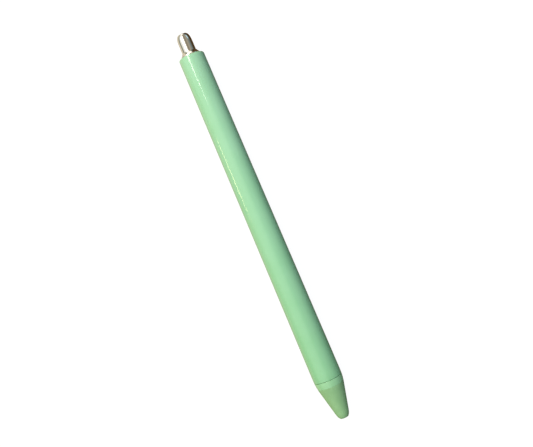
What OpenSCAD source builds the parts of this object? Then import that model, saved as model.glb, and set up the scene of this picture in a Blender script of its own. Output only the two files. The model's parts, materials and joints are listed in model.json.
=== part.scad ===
// Retractable gel pen without a clip, lying on its side.
// +X runs along the pen towards the nose, +Z is up, and the pen rests on z = 0.
// Every sub-part is drawn upright first: its z is the station, the distance in mm
// from the nose's end, and pen_axis() then lays it down.
// All pieces are at rest: button out, writing tip drawn in, nose screwed home.

/* [Overall] */
// Length from the nose's end to the top of the push button
overall_length = 143; // [142:0.5:150]
// Smoothness of round pieces
$fn = 96; // [32:8:128]

/* [Barrel and nose outline] */
// Diameter where the straight barrel would meet the straight cone
shoulder_d = 10.24; // [10:0.02:10.6]
// Diameter at the rear end of the barrel
barrel_rear_d = 9.12; // [9:0.02:9.6]
// Station of the rear end of the barrel
barrel_end = 135; // [134.5:0.1:135.5]
// Station where the straight barrel would meet the straight cone
shoulder_at = 13.5; // [13:0.1:14]
// Half the length of the bend between barrel and cone
bend_half = 2.2; // [1.5:0.1:2.5]
// Diameter to which the straight cone points at the nose's end
cone_tip_d = 3.94; // [3.8:0.02:4.2]
// Length of the rounding at the nose's end
nose_round = 2; // [1:0.1:2.4]
// Radius of the barrel's rear rim
rim_round = 0.8; // [0.4:0.1:0.8]

/* [Seam and thread] */
// Station of the joint between the cone and the light ring
ring_from = 12.1; // [11.5:0.1:12.5]
// Station of the front end of the barrel
barrel_from = 14.6; // [14.2:0.1:15]
// Width of the groove between ring and barrel
seam_gap = 0.12; // [0.1:0.02:0.2]
// Diameter of the nose's spigot, taken as the mean diameter of its thread
spigot_d = 7.8; // [7.6:0.1:7.8]
// Length of thread that the spigot has in the barrel
thread_length = 6.5; // [5:0.5:6.5]

/* [Button] */
// Diameter of the push button
button_d = 5; // [4.8:0.1:5]
// Full travel of the push button
stroke = 5.4; // [4.8:0.1:5.4]
// Travel at which the cam holds the writing tip out
latch_stroke = 4.4; // [3.8:0.1:4.4]
// Height of the chrome collar above the barrel
collar_height = 1.45; // [1.2:0.05:2]

/* [Refill] */
// Outside diameter of the refill tube
refill_d = 6; // [5.8:0.1:6]
// Wall thickness of the refill tube
refill_wall = 0.45; // [0.4:0.05:0.5]
// Length of the refill from ball to tail
refill_length = 111; // [110.5:0.1:111]
// Length of the metal writing tip
tip_length = 14; // [13:0.5:15]
// Depth of the ball inside the nose at rest
tip_depth = 1.7; // [1.5:0.1:2]
// Diameter of the writing ball
ball_d = 0.7; // [0.5:0.1:0.7]
// Diameter of the metal writing tip
tip_d = 2.3; // [2.2:0.1:2.3]

/* [Return spring] */
// Diameter of the spring wire
wire_d = 0.35; // [0.3:0.01:0.36]
// Mean diameter of the coil
coil_d = 4.3; // [4.2:0.02:4.34]
// Number of active turns
coil_turns = 10; // [8:1:12]

/* [Hidden] */

mint = [0.60, 0.86, 0.70];
light_mint = [0.61, 0.88, 0.68];
olive_mint = [0.55, 0.75, 0.52];
chrome = [0.80, 0.80, 0.80];
steel = [0.68, 0.68, 0.66];
carbide = [0.38, 0.38, 0.40];
white_plastic = [0.92, 0.92, 0.90];
grey_plastic = [0.72, 0.74, 0.74];
clear_plastic = [0.86, 0.92, 0.90];
black_ink = [0.05, 0.05, 0.07];
grease = [0.90, 0.86, 0.62];

run_gap = 0.05;          // radial gap of pieces that slide or turn in each other
touch_gap = 0.05;        // gap left between faces that press on each other
edge_break = 0.1;        // bevel that takes the sharpness off an edge
lead_in = 0.4;           // bevel that guides a piece into its hole
cut_over = 1;            // how far a cutter runs past what it cuts
far = 20;                // longer than any cross-section is wide
arc_step = 15;           // degrees between the points of a rounded edge
bend_steps = 6;          // straight pieces that stand for the bend of the outline
seam_turn = 144;         // turns the round faces' seams away from the side that the pen lies on

// Outline of barrel, ring and cone: two straight lines joined by a parabola
cone_slope = (shoulder_d - cone_tip_d) / 2 / shoulder_at;
barrel_slope = (barrel_rear_d - shoulder_d) / 2 / (barrel_end - shoulder_at);
bend_from = shoulder_at - bend_half;
bend_to = shoulder_at + bend_half;
function cone_line(s) = cone_tip_d / 2 + cone_slope * s;
function barrel_line(s) = shoulder_d / 2 + barrel_slope * (s - shoulder_at);
function outline_r(s) =
    s <= bend_from ? cone_line(s)
    : s >= bend_to ? barrel_line(s)
    : cone_line(s) + (barrel_slope - cone_slope) * pow(s - bend_from, 2) / (4 * bend_half);

// How much a rounding that ends in a face takes off the radius, and where
function edge_drop(angle, depth) = depth * (1 - sin(angle));
function edge_in(angle, length) = length * (1 - cos(angle));

axis_height = outline_r(bend_to);
tip_x = overall_length / 2;

// Barrel and nose thread
bore_r = 3.5;
spigot_r = spigot_d / 2;
spigot_end = barrel_from + thread_length;
thread_r = spigot_r + run_gap;
thread_end = spigot_end + 0.5;

// Collar
collar_from = barrel_end - 5.3;
collar_top = barrel_end + collar_height;
collar_bore = button_d / 2 + 0.06;
collar_lip = 0.1;
collar_base_r = bore_r - 0.05;
collar_foot = 0.3;       // straight part of the collar above the barrel
flare_bow = 0.3;         // how hollow the flare is, 0 for a straight cone
flare_steps = 5;

// Push button and its stem
button_wall = 0.3;
button_top = 0.4;        // thickness of the button's top
button_from = barrel_end - 5.8;
button_flange_r = 3.1;
button_flange = 0.4;
button_round = 2.8;      // length of the rounding at the button's top
button_drop = 1.2;       // how much that rounding takes off the radius
stem_r = button_d / 2 - button_wall;
stem_end = overall_length - 5;
disc_r = button_flange_r - 0.2;
disc_from = button_from - 0.5;

// Cams: the rotor's ribs and the thrust cam's ribs run in four grooves of the sleeve
refill_tail = tip_depth + refill_length;
rotor_from = refill_tail + touch_gap;
rib_count = 4;
rib_w = 1.4;
rib_r = 3;
cam_r = 2.3;
spindle_r = 1.3;
spindle_length = 3.6;
tooth_count = 8;
tooth_tilt = 35;
tooth_half = cam_r * tan(180 / tooth_count) * tan(tooth_tilt);
rib_from = rotor_from + 2.6;
rotor_top = rib_from + 2.9;
sleeve_at = rotor_top - latch_stroke;
sleeve_from = sleeve_at - tooth_half - 0.3;
sleeve_to = disc_from - stroke - 0.2;
thrust_at = rotor_top + tooth_half + touch_gap;
thrust_rib_from = thrust_at + tooth_half;
thrust_rib_length = 2.4;
thrust_bore_to = thrust_at + 4.6;

// Refill
tube_r = refill_d / 2;
tube_bore = tube_r - refill_wall;
ball_r = ball_d / 2;
ball_at = tip_depth + ball_r;
tip_r = tip_d / 2;
tip_front = ball_at - 0.1;
tip_cone_end = tip_front + 3.65;
tip_rear = tip_front + tip_length;
socket_r = ball_r + 0.02;
socket_rim_r = ball_r + 0.07;
ink_channel = 0.8;
feed_r = 0.2;
feed_cone = 1;           // length over which the tip's channel narrows
holder_r = 1.75;
holder_from = tip_rear - 3;
shoulder_from = holder_from + 14.5;
tube_from = shoulder_from + 0.8;
holder_to = tube_from + 5.2;
tube_to = refill_tail - 0.7;
plug_from = tube_to - 3;
vent_r = 0.5;
ink_to = 95;
follower_to = 100;
follower_dip = 0.8;      // how far the grease is hollow behind

// Nose
mouth_r = 1.25;
mouth_depth = 3;
nose_drop = cone_tip_d / 2 - mouth_r - 0.08;
throat_r = 1.65;
throat_from = mouth_depth + 1.5;
seat_at = 7;
chamber_r = coil_d / 2 + wire_d / 2 + 0.2;

// Return spring
spring_from = seat_at + touch_gap;
spring_to = shoulder_from - touch_gap;
coil_steps = 16;         // points in one turn
wire_sides = 8;
end_pitch = wire_d * 1.06;
active_pitch = (spring_to - spring_from - wire_d - 2 * end_pitch) / coil_turns;

// Lays the upright drawing down along the pen's axis
module pen_axis() {
    translate([tip_x, 0, axis_height]) rotate([0, -90, 0]) rotate(seam_turn) children();
}

// A round piece: points are [radius, station]
module turned(points) {
    rotate_extrude() polygon(points);
}

// A tube or disc between two stations
module tube(outer_r, inner_r, from, to) {
    turned([[inner_r, from], [outer_r, from], [outer_r, to], [inner_r, to]]);
}

// Points of the pen's outline between two stations, close together on the bend
function outline(from, to) =
    [for (s = concat([from],
                     [for (k = [0:bend_steps]) if (bend_at(k) > from && bend_at(k) < to) bend_at(k)],
                     [to])) [outline_r(s), s]];
function bend_at(k) = bend_from + 2 * bend_half * k / bend_steps;

// What lies on one side of a ring of saw teeth: side -1 towards the nose, 1 towards the button.
// The middle, within the spindle, stays uncut.
module beside_saw(side) {
    half_angle = 180 / tooth_count;
    middle = spindle_r * cos(half_angle) - edge_break;
    reach = 2 * rib_r;
    for (k = [0:tooth_count - 1])
        rotate(k * 2 * half_angle)
            intersection() {
                linear_extrude(height = 2 * reach, center = true)
                    polygon([[middle, -middle * tan(half_angle)], [reach, -reach * tan(half_angle)],
                             [reach, reach * tan(half_angle)], [middle, middle * tan(half_angle)]]);
                rotate([tooth_tilt, 0, 0])
                    translate([0, -far / 2, side < 0 ? -far : 0])
                        cube([far, far, far]);
            }
}

// Bars across the axis: each makes two opposite ribs, or two opposite grooves
module cross_bars(width, from, to) {
    for (k = [0:rib_count / 2 - 1])
        rotate(k * 360 / rib_count)
            translate([-far / 2, -width / 2, from])
                cube([far, width, to - from]);
}

// Guide ribs of the cams
module ribs(from, to) {
    intersection() {
        cross_bars(rib_w, from, to);
        translate([0, 0, from]) cylinder(r = rib_r, h = to - from);
    }
}

// Glossy plastic tube that everything else is built into
module barrel() {
    front = barrel_from + edge_break;
    color(mint) pen_axis()
        turned(concat(
            [[outline_r(front) - edge_break, barrel_from]],
            outline(front, barrel_end - rim_round),
            [for (a = [90 - arc_step:-arc_step:0])
                [outline_r(barrel_end) - edge_drop(a, rim_round),
                 barrel_end - edge_in(a, rim_round)]],
            [[bore_r + edge_break, barrel_end], [bore_r, barrel_end - edge_break],
             [bore_r, thread_end + lead_in], [thread_r, thread_end],
             [thread_r, barrel_from + edge_break], [thread_r + edge_break, barrel_from]]));
}

// Flared chrome collar, pressed into the barrel's rear end, which guides the button
module top_collar() {
    lip_r = collar_bore + collar_lip;
    flare = collar_base_r - lip_r;
    flare_from = barrel_end + collar_foot;
    color(chrome) pen_axis()
        turned(concat(
            [[collar_bore, collar_from], [bore_r - edge_break, collar_from],
             [bore_r, collar_from + lead_in], [bore_r, barrel_end - 3 * edge_break],
             [collar_base_r, barrel_end - 2 * edge_break]],
            [for (k = [0:flare_steps])
                let (t = k / flare_steps)
                [collar_base_r - flare * (t + flare_bow * t * (1 - t)),
                 flare_from + (collar_top - flare_from) * t]],
            [[collar_bore, collar_top]]));
}

// Drawn metal cap that the thumb presses, with a flange that the collar holds back
module push_button() {
    inner_top = overall_length - button_top;
    inner_round = button_round - button_top;
    outer_r = button_d / 2;
    color(chrome) pen_axis()
        turned(concat(
            [[stem_r, button_from], [button_flange_r, button_from],
             [button_flange_r, button_from + button_flange],
             [outer_r, button_from + button_flange]],
            [for (a = [90:-arc_step:0])
                [outer_r - edge_drop(a, button_drop),
                 overall_length - edge_in(a, button_round)]],
            [[0, overall_length], [0, inner_top]],
            [for (a = [0:arc_step:90])
                [stem_r - edge_drop(a, button_drop), inner_top - edge_in(a, inner_round)]]));
}

// Plunger pressed into the button, with eight saw teeth that push the rotor
module thrust_cam() {
    color(white_plastic) pen_axis()
        union() {
            difference() {
                union() {
                    tube(cam_r, spindle_r + 2 * run_gap, thrust_at - tooth_half, thrust_bore_to);
                    turned([[0, thrust_bore_to], [cam_r, thrust_bore_to], [cam_r, disc_from],
                            [disc_r, disc_from], [disc_r, button_from],
                            [stem_r, button_from], [stem_r, stem_end - lead_in],
                            [stem_r - lead_in, stem_end], [0, stem_end]]);
                }
                translate([0, 0, thrust_at]) rotate(180 / tooth_count) beside_saw(-1);
            }
            difference() {
                ribs(thrust_rib_from, thrust_rib_from + thrust_rib_length);
                translate([0, 0, thrust_rib_from - cut_over])
                    cylinder(r = cam_r - edge_break, h = thrust_rib_length + 2 * cut_over);
            }
        }
}

// Fixed sleeve pressed into the barrel: four grooves between saw-toothed ends
module cam_sleeve() {
    groove_r = rib_r + run_gap;
    color(grey_plastic) pen_axis()
        union() {
            tube(bore_r, groove_r, sleeve_from, sleeve_to);
            difference() {
                tube(groove_r + edge_break, cam_r + 2 * run_gap, sleeve_from, sleeve_to);
                cross_bars(rib_w + 2 * run_gap, sleeve_from - cut_over, sleeve_to + cut_over);
                translate([0, 0, sleeve_at]) rotate(180 / tooth_count) beside_saw(-1);
            }
        }
}

// Cam that turns one step at the end of each press and pushes the refill
module cam_rotor() {
    saw_top = rotor_top + tooth_half;
    color(white_plastic) pen_axis()
        union() {
            difference() {
                union() {
                    translate([0, 0, rotor_from]) cylinder(r = cam_r, h = saw_top - rotor_from);
                    ribs(rib_from, saw_top + cut_over);
                }
                translate([0, 0, rotor_top]) beside_saw(1);
            }
            translate([0, 0, rotor_top - cut_over])
                cylinder(r = spindle_r, h = spindle_length + cut_over);
        }
}

// Clear tube of the refill
module refill_tube() {
    color(clear_plastic) pen_axis()
        tube(tube_r, tube_bore, tube_from, tube_to);
}

// Vented plug that closes the tail of the refill and takes the rotor's push
module tail_plug() {
    color(white_plastic) pen_axis()
        turned([[vent_r, plug_from], [tube_bore - edge_break, plug_from],
                [tube_bore, plug_from + lead_in], [tube_bore, tube_to], [tube_r, tube_to],
                [tube_r, refill_tail - edge_break], [tube_r - edge_break, refill_tail],
                [vent_r, refill_tail]]);
}

// Gel ink in the tube and in the channel that leads to the ball
module ink_column() {
    color(black_ink) pen_axis()
        turned([[0, tip_cone_end], [feed_r, tip_cone_end],
                [ink_channel, tip_cone_end + feed_cone], [ink_channel, holder_to],
                [tube_bore, holder_to], [tube_bore, ink_to], [0, ink_to]]);
}

// Grease that follows the ink down the tube
module ink_follower() {
    color(grease) pen_axis()
        turned([[0, ink_to], [tube_bore, ink_to], [tube_bore, follower_to],
                [tube_bore / 2, follower_to - follower_dip], [0, follower_to - follower_dip]]);
}

// Plastic holder that joins the metal tip to the tube and seats the spring
module tip_holder() {
    color(clear_plastic) pen_axis()
        turned([[tip_r, holder_from], [holder_r - lead_in, holder_from],
                [holder_r, holder_from + 2 * lead_in], [holder_r, shoulder_from],
                [tube_r, shoulder_from], [tube_r, tube_from], [tube_bore, tube_from],
                [tube_bore, holder_to], [ink_channel, holder_to],
                [ink_channel, tip_rear], [tip_r, tip_rear]]);
}

// Turned steel tip with the socket that holds the writing ball
module tip_shell() {
    point_end = tip_front + 2;
    point_r = socket_rim_r + 0.28;
    color(steel) pen_axis()
        difference() {
            turned([[0, tip_front], [socket_rim_r, tip_front], [point_r, point_end],
                    [point_r + edge_break / 2, point_end + edge_break],
                    [tip_r, tip_cone_end], [tip_r, tip_rear], [ink_channel, tip_rear],
                    [ink_channel, tip_cone_end + feed_cone], [feed_r, tip_cone_end],
                    [feed_r, ball_at], [0, ball_at]]);
            translate([0, 0, ball_at]) sphere(r = socket_r);
        }
}

// Ball that rolls on the paper and carries the ink out
module writing_ball() {
    color(carbide) pen_axis()
        translate([0, 0, ball_at]) sphere(r = ball_r);
}

// Height of the coil above its start: one closed turn at each end, open turns between
function coil_rise(turn) =
    turn <= 1 ? end_pitch * turn
    : turn <= coil_turns + 1 ? end_pitch + active_pitch * (turn - 1)
    : end_pitch * (turn - coil_turns) + active_pitch * coil_turns;

// Coil spring between the nose's seat and the shoulder of the tip holder
module return_spring() {
    wire_r = wire_d / 2;
    rings = (coil_turns + 2) * coil_steps;
    points = [for (i = [0:rings], k = [0:wire_sides - 1])
        let (turn = i / coil_steps,
             around = 360 * k / wire_sides,
             r = coil_d / 2 + wire_r * cos(around))
        [r * cos(360 * turn), r * sin(360 * turn),
         spring_from + wire_r + coil_rise(turn) + wire_r * sin(around)]];
    sides = [for (i = [0:rings - 1], k = [0:wire_sides - 1])
        let (next = (k + 1) % wire_sides)
        [i * wire_sides + k, i * wire_sides + next,
         (i + 1) * wire_sides + next, (i + 1) * wire_sides + k]];
    ends = [[for (k = [wire_sides - 1:-1:0]) k],
            [for (k = [0:wire_sides - 1]) rings * wire_sides + k]];
    color(steel) pen_axis()
        polyhedron(points = points, faces = concat(sides, ends));
}

// Light ring between the cone and the barrel, held on the nose's spigot
module nose_ring() {
    rear = barrel_from - seam_gap;
    front = ring_from + run_gap / 2;
    color(light_mint) pen_axis()
        turned(concat(
            outline(front, rear - edge_break),
            [[outline_r(rear) - edge_break, rear], [thread_r, rear], [thread_r, front]]));
}

// Cone that closes the front of the pen and screws into the barrel
module nose_cone() {
    color(olive_mint) pen_axis()
        turned(concat(
            [for (a = [0:arc_step:90 - arc_step])
                [cone_line(edge_in(a, nose_round)) - edge_drop(a, nose_drop),
                 edge_in(a, nose_round)]],
            outline(nose_round, ring_from),
            [[spigot_r, ring_from], [spigot_r, spigot_end - lead_in],
             [spigot_r - lead_in, spigot_end], [chamber_r, spigot_end],
             [chamber_r, seat_at], [throat_r, seat_at], [throat_r, throat_from],
             [mouth_r, mouth_depth], [mouth_r, 0]]));
}

barrel();
top_collar();
push_button();
thrust_cam();
cam_sleeve();
cam_rotor();
refill_tube();
tail_plug();
ink_column();
ink_follower();
tip_holder();
tip_shell();
writing_ball();
return_spring();
nose_ring();
nose_cone();
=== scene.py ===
"""Looks of a retractable gel pen: a glossy mint barrel, a light ring, a matte nose cone, a chrome
button in a flared collar, and the cam and refill inside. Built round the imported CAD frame, in metres."""
import json
import math

import bmesh
import bpy
from mathutils import Matrix, Vector

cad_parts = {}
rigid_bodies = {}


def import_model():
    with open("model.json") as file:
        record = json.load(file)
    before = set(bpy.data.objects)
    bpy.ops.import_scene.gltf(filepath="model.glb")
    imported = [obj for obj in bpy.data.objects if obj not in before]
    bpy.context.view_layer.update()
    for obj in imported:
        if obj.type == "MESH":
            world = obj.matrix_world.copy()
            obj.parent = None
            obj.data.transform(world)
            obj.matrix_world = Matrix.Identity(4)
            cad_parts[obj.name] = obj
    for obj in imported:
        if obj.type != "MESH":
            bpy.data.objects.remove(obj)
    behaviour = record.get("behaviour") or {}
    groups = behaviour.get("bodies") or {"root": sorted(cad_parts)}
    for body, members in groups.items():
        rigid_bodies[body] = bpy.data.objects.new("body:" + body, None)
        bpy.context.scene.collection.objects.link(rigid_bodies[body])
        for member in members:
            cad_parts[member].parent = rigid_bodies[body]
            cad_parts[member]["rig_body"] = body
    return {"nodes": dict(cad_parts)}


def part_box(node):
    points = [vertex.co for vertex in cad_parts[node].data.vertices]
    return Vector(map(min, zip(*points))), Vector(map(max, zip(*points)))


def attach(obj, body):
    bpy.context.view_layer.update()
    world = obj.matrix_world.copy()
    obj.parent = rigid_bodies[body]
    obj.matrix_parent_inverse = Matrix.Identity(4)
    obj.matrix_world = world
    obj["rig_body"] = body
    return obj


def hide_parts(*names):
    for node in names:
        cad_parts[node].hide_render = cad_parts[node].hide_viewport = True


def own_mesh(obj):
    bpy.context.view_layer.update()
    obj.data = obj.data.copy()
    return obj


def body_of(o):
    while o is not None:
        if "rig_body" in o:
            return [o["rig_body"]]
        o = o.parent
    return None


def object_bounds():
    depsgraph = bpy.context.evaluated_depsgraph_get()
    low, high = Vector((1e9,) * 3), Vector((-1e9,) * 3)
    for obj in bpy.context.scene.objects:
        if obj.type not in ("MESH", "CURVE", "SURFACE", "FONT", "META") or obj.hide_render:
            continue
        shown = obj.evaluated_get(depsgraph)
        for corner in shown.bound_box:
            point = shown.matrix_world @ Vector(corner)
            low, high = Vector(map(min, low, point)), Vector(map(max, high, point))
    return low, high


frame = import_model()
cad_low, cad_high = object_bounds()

MM = 0.001
SEGMENTS = 160                      # steps round a turned piece
SHARP = math.radians(32)            # edges that bend more than this are shaded as edges
MERGE = 1e-8                        # points nearer than this, in metres, are one point

# ---------------------------------------------------------------- driving dimensions, in mm
# Stations are distances from the nose's end, as along a ruler laid beside the pen.
NOSE_X = cad_high.x / MM
AXIS_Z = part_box("writing_ball")[0].lerp(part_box("writing_ball")[1], 0.5).z / MM


def station(x_m):
    """The station, in mm, of a place along X in metres."""
    return NOSE_X - x_m / MM


def span(node):
    """The stations at which a CAD node begins and ends, nose side first."""
    low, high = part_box(node)
    return station(high.x), station(low.x)


def radius(node):
    """Largest radius of a CAD node, in mm."""
    low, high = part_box(node)
    return (high.y - low.y) / 2 / MM


BARREL_FROM, BARREL_TO = span("barrel")
RING_FROM, RING_TO = span("nose_ring")
CONE_FROM, SPIGOT_TO = span("nose_cone")
BUTTON_FROM, BUTTON_TO = span("push_button")
COLLAR_FROM, COLLAR_TO = span("top_collar")
SPRING_FROM, SPRING_TO = span("return_spring")

SHOULDER_R = 5.12                   # where the straight barrel would meet the straight cone
SHOULDER_AT = 13.5
BARREL_REAR_R = 4.56
CONE_TIP_R = 1.97                   # to which the straight cone points at the nose's end
BEND_HALF = 2.2                     # half the length of the bend between barrel and cone
CONE_SLOPE = (SHOULDER_R - CONE_TIP_R) / SHOULDER_AT
BARREL_SLOPE = (BARREL_REAR_R - SHOULDER_R) / (BARREL_TO - SHOULDER_AT)

BORE_R = 3.5                        # of the barrel, where the collar and the cam sleeve sit
SPIGOT_R = 3.9                      # crest of the nose's thread
THREAD_PITCH = 1.0
THREAD_DEPTH = 0.3
RUN_GAP = 0.05                      # radial gap between pieces that turn in each other
THREAD_ROWS = 12                    # rows of points in one pitch
RING_REST = RING_FROM - RUN_GAP / 2     # where the cone's shoulder holds the ring
EDGE = 0.1                          # size of a broken edge
FINE_EDGE = 0.03                    # size of the broken edges where ring and cone meet
BUTTON_R = 2.5


def outline(s):
    """Radius of the pen's smooth outline at station s: barrel line, bend, cone line."""
    cone = CONE_TIP_R + CONE_SLOPE * s
    if s <= SHOULDER_AT - BEND_HALF:
        return cone
    if s >= SHOULDER_AT + BEND_HALF:
        return SHOULDER_R + BARREL_SLOPE * (s - SHOULDER_AT)
    into = s - (SHOULDER_AT - BEND_HALF)
    return cone + (BARREL_SLOPE - CONE_SLOPE) * into ** 2 / (4 * BEND_HALF)


def steps(start, stop, count):
    """Evenly spaced values from start to stop, both included."""
    return [start + (stop - start) * k / count for k in range(count + 1)]


# ---------------------------------------------------------------- mesh helpers
def new_piece(name, bm):
    """Turns a bmesh into a smooth-shaded object with sharp edges kept crisp."""
    bmesh.ops.remove_doubles(bm, verts=bm.verts, dist=MERGE)
    bmesh.ops.recalc_face_normals(bm, faces=bm.faces)
    for face in bm.faces:
        face.smooth = True
    for edge in bm.edges:
        edge.smooth = len(edge.link_faces) != 2 or edge.calc_face_angle() < SHARP
    mesh = bpy.data.meshes.new(name)
    bm.to_mesh(mesh)
    bm.free()
    piece = bpy.data.objects.new(name, mesh)
    bpy.context.scene.collection.objects.link(piece)
    return piece


def on_axis(s, r, angle):
    """The point at station s, radius r and angle round the pen's axis, in metres."""
    return Vector(((NOSE_X - s) * MM, r * math.cos(angle) * MM, (AXIS_Z + r * math.sin(angle)) * MM))


def lathe(name, profile, segments=SEGMENTS, shaped=None):
    """A turned piece. profile is (station, radius) points, and the last joins the first.
    A radius of 0 is a point on the axis. shaped(s, r, angle) may change a point's radius."""
    bm = bmesh.new()
    rings = []
    for s, r in profile:
        if r == 0:
            rings.append([bm.verts.new(on_axis(s, 0, 0))])
            continue
        ring = []
        for k in range(segments):
            angle = 2 * math.pi * k / segments
            ring.append(bm.verts.new(on_axis(s, shaped(s, r, angle) if shaped else r, angle)))
        rings.append(ring)
    for a, b in zip(rings, rings[1:] + rings[:1]):
        for k in range(segments):
            n = (k + 1) % segments
            if len(a) == 1 and len(b) == 1:
                break
            corners = [a[0]] if len(a) == 1 else [a[k], a[n]]
            corners += [b[0]] if len(b) == 1 else [b[n], b[k]]
            bm.faces.new(corners)
    return new_piece(name, bm)


def rear_rounding(s, r, length, drop, count):
    """The end of a piece on the button's side, at station s: a quarter-round, length long,
    from radius r down to r - drop."""
    return [(s - length * (1 - math.sin(a)), r - drop * (1 - math.cos(a)))
            for a in steps(0, math.pi / 2, count)]


def front_rounding(s, r, length, drop, count):
    """The end of a piece on the nose's side, at station s: a quarter-round, length long,
    from radius r - drop up to r."""
    return [(s + length * (1 - math.cos(a)), r - drop * (1 - math.sin(a)))
            for a in steps(0, math.pi / 2, count)]


def thread(s, angle):
    """How far into the thread's groove a point lies, from 0 on the crest to 1 at the root."""
    turn = (s / THREAD_PITCH + angle / (2 * math.pi)) % 1
    return min(1, max(0, abs(2 * turn - 1) * 2 - 0.5))


def finish_piece(piece, body, slot, material, *nodes):
    """Gives a piece its material and its body, and hides the CAD nodes it stands for. slot is not used."""
    piece.data.materials.append(material)
    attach(piece, body)
    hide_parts(*nodes)
    return piece


# ---------------------------------------------------------------- camera
def make_camera():
    """Straight down on the pen, which crosses the picture from upper left to lower right."""
    distance = 300 * MM
    roll = math.radians(23.01)      # between the pen and the picture's upright
    aside, above = 1.139 * MM, 0.812 * MM   # from the pen's middle to the picture's middle
    right = Vector((math.sin(roll), math.cos(roll), 0))
    up = Vector((-math.cos(roll), math.sin(roll), 0))
    data = bpy.data.cameras.new("camera")
    data.sensor_width = 36
    data.lens = 58.9
    camera = bpy.data.objects.new("camera", data)
    bpy.context.scene.collection.objects.link(camera)
    middle = Vector((0, 0, AXIS_Z * MM)) + right * aside + up * above
    rotation = Matrix((right, up, Vector((0, 0, 1)))).transposed()
    camera.matrix_world = Matrix.Translation(middle + Vector((0, 0, distance))) @ rotation.to_4x4()
    bpy.context.scene.camera = camera


# ---------------------------------------------------------------- light
def make_world():
    """The room round the pen: bright above and to the left, with darker walls, and its own light
    from straight ahead and from straight behind. Each stop is an angle off the zenith, in
    degrees towards +Y, and the light that comes from there."""
    stops = [(-180, (0.50, 0.46, 0.38)), (-115, (0.80, 0.70, 0.52)), (-100, (0.30, 0.32, 0.25)),
             (-88, (0.20, 0.22, 0.18)), (-79, (0.40, 0.40, 0.33)), (-70, (0.95, 0.93, 0.85)),
             (-50, (1.02, 1.00, 0.95)), (-10, (1.02, 1.00, 0.95)), (-2, (0.60, 0.54, 0.42)),
             (9, (0.20, 0.17, 0.12)), (34, (0.40, 0.35, 0.27)), (55, (0.27, 0.28, 0.24)),
             (70, (0.17, 0.21, 0.21)), (84, (0.14, 0.15, 0.13)), (98, (0.05, 0.03, 0.01)),
             (150, (0.12, 0.07, 0.03))]
    rear_light, front_light = (1.6, 1.5, 1.3), (0.25, 0.25, 0.20)
    world = bpy.data.worlds.new("room")
    world.use_nodes = True
    tree = world.node_tree
    place = tree.nodes.new("ShaderNodeTexCoord")
    split = tree.nodes.new("ShaderNodeSeparateXYZ")
    tree.links.new(place.outputs["Generated"], split.inputs[0])
    angle = add_math(tree, "ARCTAN2", split.outputs["Y"], split.outputs["Z"])
    share = add_range(tree, angle, -math.pi, math.pi, 0, 1)
    ramp = tree.nodes.new("ShaderNodeValToRGB")
    ramp.color_ramp.elements.remove(ramp.color_ramp.elements[1])
    for k, (degrees, color) in enumerate(stops):
        at = (degrees + 180) / 360
        stop = ramp.color_ramp.elements[0] if k == 0 else ramp.color_ramp.elements.new(at)
        stop.position = at
        stop.color = (*color, 1)
    tree.links.new(share, ramp.inputs["Fac"])
    along = split.outputs["X"]      # 1 straight ahead of the nose, -1 straight behind the button
    sides_and_front = add_mix(tree, add_range(tree, along, 0.70, 0.95, 0, 1),
                              ramp.outputs["Color"], front_light)
    whole = add_mix(tree, add_range(tree, along, -0.99, -0.95, 1, 0), sides_and_front, rear_light)
    tree.links.new(whole, tree.nodes["Background"].inputs["Color"])
    bpy.context.scene.world = world


def make_lamp(name, middle, size, radiance, color, mirrored=True):
    """A soft oval lamp at middle, in metres, that faces the pen. size is its length along the pen
    and its width, radiance its brightness, and mirrored says whether glossy surfaces show it."""
    data = bpy.data.lights.new(name, "AREA")
    data.shape = "ELLIPSE"
    data.size, data.size_y = size
    area = math.pi / 4 * size[0] * size[1]
    data.energy = radiance * math.pi * area
    data.color = color
    lamp = bpy.data.objects.new(name, data)
    bpy.context.scene.collection.objects.link(lamp)
    back = Vector(middle).normalized()
    across = Vector((1, 0, 0))
    side = back.cross(across).normalized()
    rotation = Matrix((side.cross(back), side, back)).transposed()
    lamp.matrix_world = Matrix.Translation(Vector(middle)) @ rotation.to_4x4()
    lamp.visible_glossy = mirrored


def make_floor():
    """A pale plain floor, which glows so that it stays near white and the pen's shadow faint."""
    reach = 6.0                     # in metres, from its middle to its edge
    bm = bmesh.new()
    bmesh.ops.create_grid(bm, x_segments=8, y_segments=8, size=reach)
    floor = new_piece("floor", bm)
    material, tree, shader = new_material("floor_paper")
    shader.inputs["Base Color"].default_value = (0.07, 0.07, 0.07, 1)
    shader.inputs["Roughness"].default_value = 0.9
    shader.inputs["Emission Color"].default_value = (1, 1, 1, 1)
    shader.inputs["Emission Strength"].default_value = 0.96
    floor.data.materials.append(material)
    floor.visible_glossy = False
    floor.visible_diffuse = False


# ---------------------------------------------------------------- materials
def new_material(name):
    """An empty node material: (material, its tree, its Principled shader)."""
    material = bpy.data.materials.new(name)
    material.use_nodes = True
    tree = material.node_tree
    return material, tree, tree.nodes["Principled BSDF"]


def add_math(tree, operation, *values):
    """The result of a Math node, each of whose values is a number or a socket."""
    node = tree.nodes.new("ShaderNodeMath")
    node.operation = operation
    for socket, value in zip(node.inputs, values):
        if isinstance(value, (int, float)):
            socket.default_value = value
        else:
            tree.links.new(value, socket)
    return node.outputs[0]


def add_range(tree, value, low, high, to_low, to_high):
    """Maps value from low..high to to_low..to_high, held at both ends."""
    node = tree.nodes.new("ShaderNodeMapRange")
    node.inputs["From Min"].default_value = low
    node.inputs["From Max"].default_value = high
    node.inputs["To Min"].default_value = to_low
    node.inputs["To Max"].default_value = to_high
    tree.links.new(value, node.inputs["Value"])
    return node.outputs["Result"]


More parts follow.
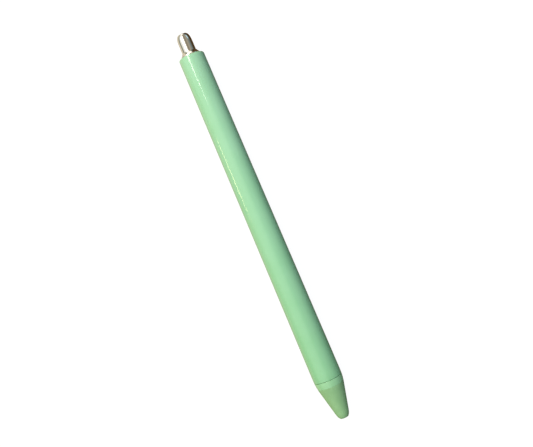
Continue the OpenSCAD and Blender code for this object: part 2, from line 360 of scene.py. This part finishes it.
def add_mix(tree, share, a, b):
    """A colour between a and b, each a colour or a socket."""
    node = tree.nodes.new("ShaderNodeMix")
    node.data_type = "RGBA"
    tree.links.new(share, node.inputs["Factor"])
    for socket, value in zip((node.inputs[6], node.inputs[7]), (a, b)):
        if isinstance(value, tuple):
            socket.default_value = (*value, 1)
        else:
            tree.links.new(value, socket)
    return node.outputs[2]


def add_noise(tree, size_mm, detail=3, stretch=1):
    """Noise whose blots are about size_mm across and stretch times as long along the pen."""
    place = tree.nodes.new("ShaderNodeTexCoord")
    scale = tree.nodes.new("ShaderNodeMapping")
    scale.inputs["Scale"].default_value = (1 / stretch, 1, 1)
    noise = tree.nodes.new("ShaderNodeTexNoise")
    noise.inputs["Scale"].default_value = 1 / (size_mm * MM)
    noise.inputs["Detail"].default_value = detail
    tree.links.new(place.outputs["Object"], scale.inputs["Vector"])
    tree.links.new(scale.outputs["Vector"], noise.inputs["Vector"])
    return noise.outputs[0]


def add_bump(tree, shader, height, height_mm, strength=1.0):
    """Dents of height_mm on the shader, on top of those it already has."""
    bump = tree.nodes.new("ShaderNodeBump")
    bump.inputs["Distance"].default_value = height_mm * MM
    bump.inputs["Strength"].default_value = strength
    tree.links.new(height, bump.inputs["Height"])
    before = shader.inputs["Normal"].links
    if before:
        tree.links.new(before[0].from_socket, bump.inputs["Normal"])
    tree.links.new(bump.outputs["Normal"], shader.inputs["Normal"])


def surface(name, light, dark, blot_mm, rough, grain_mm, dent_mm, stretch=1, **constants):
    """A finish with blotchy colour from light to dark, roughness that varies within rough, and
    dents dent_mm deep and grain_mm across. constants go on the shader's own sockets."""
    material, tree, shader = new_material(name)
    blots = add_noise(tree, blot_mm)
    share = add_range(tree, blots, 0.3, 0.7, 0, 1)
    tree.links.new(add_mix(tree, share, dark, light), shader.inputs["Base Color"])
    grain = add_noise(tree, grain_mm, stretch=stretch)
    tree.links.new(add_range(tree, grain, 0.3, 0.7, *rough), shader.inputs["Roughness"])
    add_bump(tree, shader, grain, dent_mm)
    for socket, value in constants.items():
        shader.inputs[socket.replace("_", " ")].default_value = value
    return material, tree, shader


def glossy_mint(name, rear, front):
    """Polished plastic whose colour is painted a little darker from the pen's rear to its front,
    as painted shade where the light falls off towards the nose, with a faint orange peel and
    fine scratches from the hand."""
    material, tree, shader = surface(name, rear, rear, blot_mm=9, rough=(0.10, 0.14),
                                     grain_mm=1.6, dent_mm=0.0001, IOR=1.5)
    place = tree.nodes.new("ShaderNodeTexCoord")
    split = tree.nodes.new("ShaderNodeSeparateXYZ")
    tree.links.new(place.outputs["Object"], split.inputs[0])
    along = add_range(tree, split.outputs["X"], cad_low.x, cad_high.x, 0, 1)
    # painted shade: the base colour darkens from rear to front, where less light reaches the nose
    base = add_mix(tree, along, rear, front)
    pale_mint = (0.62, 0.80, 0.66)
    pale = add_range(tree, add_noise(tree, 11, detail=4), 0.35, 0.65, 0, 0.06)
    tree.links.new(add_mix(tree, pale, base, pale_mint), shader.inputs["Base Color"])
    scratches = add_noise(tree, 0.12, detail=2, stretch=60)
    add_bump(tree, shader, scratches, 0.0002)
    return material


def machined(name, color, pitch_mm, rough, dent_mm):
    """Turned metal: fine rings left by the tool round the axis."""
    dark = tuple(c * 0.85 for c in color)
    phase_rate = 20                 # radians per unit of length in a Wave texture of scale 1
    material, tree, shader = surface(name, color, dark, blot_mm=3, rough=rough,
                                     grain_mm=0.2, dent_mm=dent_mm / 2, Metallic=1.0)
    grit = add_noise(tree, pitch_mm, detail=2)
    wave = tree.nodes.new("ShaderNodeTexWave")
    wave.bands_direction = "X"
    wave.inputs["Scale"].default_value = 1 / (pitch_mm * MM) / phase_rate
    wave.inputs["Distortion"].default_value = 0.6
    place = tree.nodes.new("ShaderNodeTexCoord")
    tree.links.new(place.outputs["Object"], wave.inputs["Vector"])
    height = add_math(tree, "ADD", wave.outputs["Fac"], grit)
    add_bump(tree, shader, height, dent_mm)
    return material


def moulded(name, light, dark):
    """Plain moulded plastic with a fine satin grain."""
    return surface(name, light, dark, blot_mm=2, rough=(0.32, 0.48), grain_mm=0.25,
                   dent_mm=0.003, IOR=1.48)[0]


def olive_matte(name):
    """The cone's soft matte plastic."""
    return surface(name, (0.262, 0.472, 0.222), (0.236, 0.436, 0.200), blot_mm=2.5,
                   rough=(0.42, 0.58), grain_mm=0.18, dent_mm=0.004, IOR=1.5,
                   Specular_IOR_Level=0.25)[0]


def clear_tube(name):
    """Drawn clear tube, with long faint flow marks."""
    return surface(name, (0.88, 0.94, 0.92), (0.84, 0.91, 0.89), blot_mm=6, rough=(0.10, 0.22),
                   grain_mm=0.8, dent_mm=0.002, stretch=12, IOR=1.49, Transmission_Weight=0.9)[0]


def gel_ink(name):
    return surface(name, (0.012, 0.012, 0.018), (0.006, 0.006, 0.010), blot_mm=3,
                   rough=(0.08, 0.16), grain_mm=1.2, dent_mm=0.002, IOR=1.38)[0]


def amber_grease(name):
    return surface(name, (0.84, 0.78, 0.50), (0.76, 0.69, 0.40), blot_mm=1.5, rough=(0.15, 0.30),
                   grain_mm=0.6, dent_mm=0.004, IOR=1.46, Subsurface_Weight=0.4,
                   Subsurface_Scale=0.001)[0]


def ground_carbide(name):
    return surface(name, (0.34, 0.34, 0.36), (0.28, 0.28, 0.30), blot_mm=0.2, rough=(0.18, 0.30),
                   grain_mm=0.04, dent_mm=0.0004, Metallic=1.0)[0]


def drawn_wire(name):
    return surface(name, (0.62, 0.62, 0.60), (0.52, 0.52, 0.50), blot_mm=1.5, rough=(0.14, 0.28),
                   grain_mm=0.08, dent_mm=0.0008, Metallic=1.0)[0]


def chrome_plate(name):
    """Polished chrome with fine rub marks along the pen."""
    material, tree, shader = surface(name, (0.93, 0.915, 0.88), (0.90, 0.885, 0.85), blot_mm=3,
                                     rough=(0.03, 0.07), grain_mm=0.7, dent_mm=0.0005,
                                     Metallic=1.0)
    rubs = add_noise(tree, 0.08, detail=2, stretch=40)
    add_bump(tree, shader, rubs, 0.00015)
    return material


def make_materials():
    """Every finish, by name."""
    return {
        # the second, darker colour is painted shade towards the nose's end, not a change in the plastic
        "mint": glossy_mint("mint_gloss", (0.295, 0.550, 0.322), (0.228, 0.510, 0.248)),
        "ring": glossy_mint("ring_gloss", (0.278, 0.550, 0.278), (0.278, 0.550, 0.278)),
        "olive": olive_matte("cone_matte"),
        "white": moulded("moulded_white", (0.86, 0.86, 0.83), (0.80, 0.80, 0.77)),
        "grey": moulded("moulded_grey", (0.52, 0.55, 0.55), (0.46, 0.49, 0.49)),
        "clear": clear_tube("clear_tube"),
        "ink": gel_ink("gel_ink"),
        "grease": amber_grease("amber_grease"),
        "carbide": ground_carbide("ground_carbide"),
        "steel": machined("turned_steel", (0.66, 0.65, 0.62), 0.12, (0.16, 0.30), 0.0012),
        "wire": drawn_wire("drawn_wire"),
        "chrome": chrome_plate("chrome_plate"),
    }


# ---------------------------------------------------------------- outer pieces
def make_barrel(material):
    """The tube: its rounded rear rim, its bore, and the female thread behind its front edge."""
    rim = 0.8                       # radius of the rear rim's rounding
    run_out = 0.5                   # how far the thread goes past the spigot's end
    taper = 0.4                     # length over which the thread's hole narrows to the bore
    front = BARREL_FROM + EDGE
    thread_r = SPIGOT_R + RUN_GAP
    thread_to = SPIGOT_TO + run_out
    edge = front_rounding(BARREL_FROM, outline(front), EDGE, EDGE, 4)
    side = [(s, outline(s)) for s in steps(front, BARREL_TO - rim, 60)][1:-1]
    back = rear_rounding(BARREL_TO, outline(BARREL_TO), rim, rim, 12)
    bore = [(BARREL_TO, BORE_R + EDGE), (BARREL_TO - EDGE, BORE_R), (thread_to + taper, BORE_R)]
    rows = round((thread_to - front) / THREAD_PITCH * THREAD_ROWS)
    inner = [(s, thread_r) for s in steps(thread_to, front, rows)]
    mouth = [(BARREL_FROM, thread_r + EDGE)]

    def shaped(s, r, angle):
        """Cuts the female thread, which fades out at both ends."""
        if r != thread_r:
            return r
        fade = min(1, (s - front) / THREAD_PITCH, (thread_to - s) / THREAD_PITCH)
        return r - THREAD_DEPTH * fade * thread(s, angle)

    piece = lathe("barrel_shell", edge + side + back + bore + inner + mouth, shaped=shaped)
    return finish_piece(piece, "body", "barrel_plastic", material, "barrel")


def make_ring(material):
    """The ring, which fills most of the bend between barrel and cone."""
    bore = SPIGOT_R + RUN_GAP
    front = front_rounding(RING_FROM, outline(RING_FROM + FINE_EDGE), FINE_EDGE, FINE_EDGE, 4)
    side = [(s, outline(s)) for s in steps(RING_FROM + FINE_EDGE, RING_TO - EDGE, 16)][1:-1]
    back = rear_rounding(RING_TO, outline(RING_TO), EDGE, EDGE, 4)
    piece = lathe("nose_ring_shell", front + side + back + [(RING_TO, bore), (RING_FROM, bore)])
    return finish_piece(piece, "ring", "ring_plastic", material, "nose_ring")


def make_cone(material):
    """The cone with its mouth, the spring's seat and the threaded spigot."""
    nose_round = 2.0                # length of the rounding at the nose's end
    land = 0.08                     # width of the flat rim round the mouth
    mouth = 1.25                    # radius of the hole that the tip comes out of
    mouth_edge, mouth_edge_depth = 0.05, 0.06   # size of the mouth's broken edge
    mouth_to = 3.0                  # station at which the mouth begins to widen
    throat = 1.65                   # radius behind the mouth
    throat_from = 4.5
    seat = 7.0                      # station of the shoulder that the spring rests on
    chamber = radius("return_spring") + 0.2
    drop = CONE_TIP_R - mouth - land
    nose = [(s, outline(s) + dip) for s, dip in front_rounding(0, 0, nose_round, drop, 18)]
    side = [(s, outline(s)) for s in steps(nose_round, RING_REST - FINE_EDGE, 30)][1:-1]
    shoulder = rear_rounding(RING_REST, outline(RING_REST), FINE_EDGE, FINE_EDGE, 4)
    thread_from = BARREL_FROM + EDGE
    lead = 0.4                      # how much thinner the spigot's end is
    rows = round((SPIGOT_TO - thread_from) / THREAD_PITCH * THREAD_ROWS)
    spigot = [(RING_REST, SPIGOT_R)] + [(s, SPIGOT_R) for s in steps(thread_from, SPIGOT_TO, rows)]
    inner = [(SPIGOT_TO, chamber), (seat, chamber), (seat, throat), (throat_from, throat),
             (mouth_to, mouth), (mouth_edge_depth, mouth), (0, mouth + mouth_edge)]

    def shaped(s, r, angle):
        """Cuts the male thread, and tapers its last turn."""
        if r != SPIGOT_R or s < thread_from:
            return r
        fade = min(1, (s - thread_from) / THREAD_PITCH)
        lowered = r - THREAD_DEPTH * fade * thread(s, angle)
        return min(lowered, r - lead + max(0, SPIGOT_TO - s))

    piece = lathe("nose_cone_shell", nose + side + shoulder + spigot + inner, shaped=shaped)
    return finish_piece(piece, "nose", "cone_plastic", material, "nose_cone")


def make_button(material):
    """The cap: a closed tube with a domed end, and a flange that keeps it behind the collar."""
    wall = 0.3                      # of the cap's side
    top_wall = 0.4
    flange_r = radius("push_button")
    flange_to = BUTTON_FROM + 0.4
    dome, drop = 2.8, 1.2           # length of the dome's rounding, and how far it comes in
    inside = BUTTON_R - wall
    ceiling = BUTTON_TO - top_wall
    profile = [(BUTTON_FROM, inside), (BUTTON_FROM, flange_r - EDGE), (BUTTON_FROM + EDGE, flange_r),
               (flange_to - EDGE, flange_r), (flange_to, flange_r - EDGE), (flange_to, BUTTON_R)]
    profile += rear_rounding(BUTTON_TO, BUTTON_R, dome, drop, 18)
    profile += [(BUTTON_TO, 0), (ceiling, 0)]
    profile += rear_rounding(ceiling, inside, dome - top_wall, drop, 12)[::-1]
    piece = lathe("push_button_cap", profile)
    return finish_piece(piece, "button", "chrome", material, "push_button")


def make_collar(material):
    """The collar: a sleeve pressed into the bore, and the flare that shows outside the barrel."""
    bore = BUTTON_R + 0.06
    lip = bore + 0.1                # radius of the flare's thin end
    lip_edge, lip_swell = 0.03, 0.005   # length of its broken edge, and how much wider it starts
    base = BORE_R - 0.05            # radius of the flare's thick end
    foot = 0.3                      # length of the straight part outside the barrel
    bow = 0.3                       # how far the flare bulges, as a share of its height
    lead = 0.4                      # length of the bevel that guides the sleeve into the bore
    sleeve_to = BARREL_TO - 0.3
    flare_from = BARREL_TO + foot
    flare = [(flare_from + (COLLAR_TO - flare_from) * t, base - (base - lip) * (t + bow * t * (1 - t)))
             for t in steps(0, 1, 16)]
    profile = [(COLLAR_FROM, bore), (COLLAR_FROM, BORE_R - EDGE), (COLLAR_FROM + lead, BORE_R),
               (sleeve_to, BORE_R), (sleeve_to + EDGE, base)]
    profile += flare[:-1]
    profile += [(COLLAR_TO - lip_edge, lip + lip_swell), (COLLAR_TO, lip - lip_edge), (COLLAR_TO, bore)]
    piece = lathe("top_collar_flare", profile)
    return finish_piece(piece, "body", "chrome", material, "top_collar")


# ---------------------------------------------------------------- refill and spring
def make_spring(material):
    """A drawn-wire coil with a closed turn at each end. The real one shortens as the refill moves out;
    this mesh keeps one length.
    """
    wire_r = 0.175
    coil_r = radius("return_spring") - wire_r
    turns = 10                      # open turns, between the two closed ones
    closed_pitch = 0.371            # of a closed turn, a little more than the wire is thick
    rings_per_turn, sides = 40, 12  # of the wire's mesh
    free = SPRING_TO - SPRING_FROM - 2 * wire_r - 2 * closed_pitch
    bm = bmesh.new()
    rings = []
    for k in range((turns + 2) * rings_per_turn + 1):
        turn = k / rings_per_turn
        closed = min(turn, 1) + max(turn - turns - 1, 0)
        opened = min(max(turn - 1, 0), turns)
        rise = wire_r + closed_pitch * closed + free / turns * opened
        angle = 2 * math.pi * turn
        rings.append([bm.verts.new(on_axis(SPRING_FROM + rise + wire_r * math.sin(a),
                                           coil_r + wire_r * math.cos(a), angle))
                      for a in steps(0, 2 * math.pi, sides)[:-1]])
    for a, b in zip(rings, rings[1:]):
        for k in range(sides):
            n = (k + 1) % sides
            bm.faces.new((a[k], a[n], b[n], b[k]))
    bm.faces.new(rings[0])
    bm.faces.new(rings[-1])
    piece = new_piece("return_spring_coil", bm)
    body = body_of(frame["nodes"]["return_spring"])[0]
    finish_piece(piece, body, "steel", material, "return_spring")
    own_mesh(piece)


def dress_cad_nodes(found):
    """Gives the CAD nodes whose shape is right their better finish."""
    finishes = {"thrust_cam": "white", "cam_rotor": "white", "cam_sleeve": "grey",
                "tail_plug": "white", "refill_tube": "clear", "tip_holder": "clear",
                "ink_column": "ink", "ink_follower": "grease", "tip_shell": "steel",
                "writing_ball": "carbide"}
    for node, finish in finishes.items():
        for slot in frame["nodes"][node].material_slots:
            slot.material = found[finish]


make_camera()
materials = make_materials()
make_barrel(materials["mint"])
make_ring(materials["ring"])
make_cone(materials["olive"])
make_button(materials["chrome"])
make_collar(materials["chrome"])
make_spring(materials["wire"])
dress_cad_nodes(materials)
make_floor()
make_world()
make_lamp("window_lamp", (-0.36, -0.262, 0.50), (0.45, 0.205), 14, (1.0, 0.95, 0.87))
make_lamp("low_lamp", (-0.050, -0.48, 0.090), (0.080, 0.065), 11, (1.0, 0.86, 0.50))
make_lamp("blue_card", (-0.35, 0.45, 0.18), (0.30, 0.20), 0.6, (0.55, 0.85, 1.0))
make_lamp("sky_fill", (-0.02, 0.08, 0.22), (0.19, 0.165), 3.0, (0.38, 0.61, 1.0), mirrored=False)
bpy.context.scene.view_settings.view_transform = "Standard"
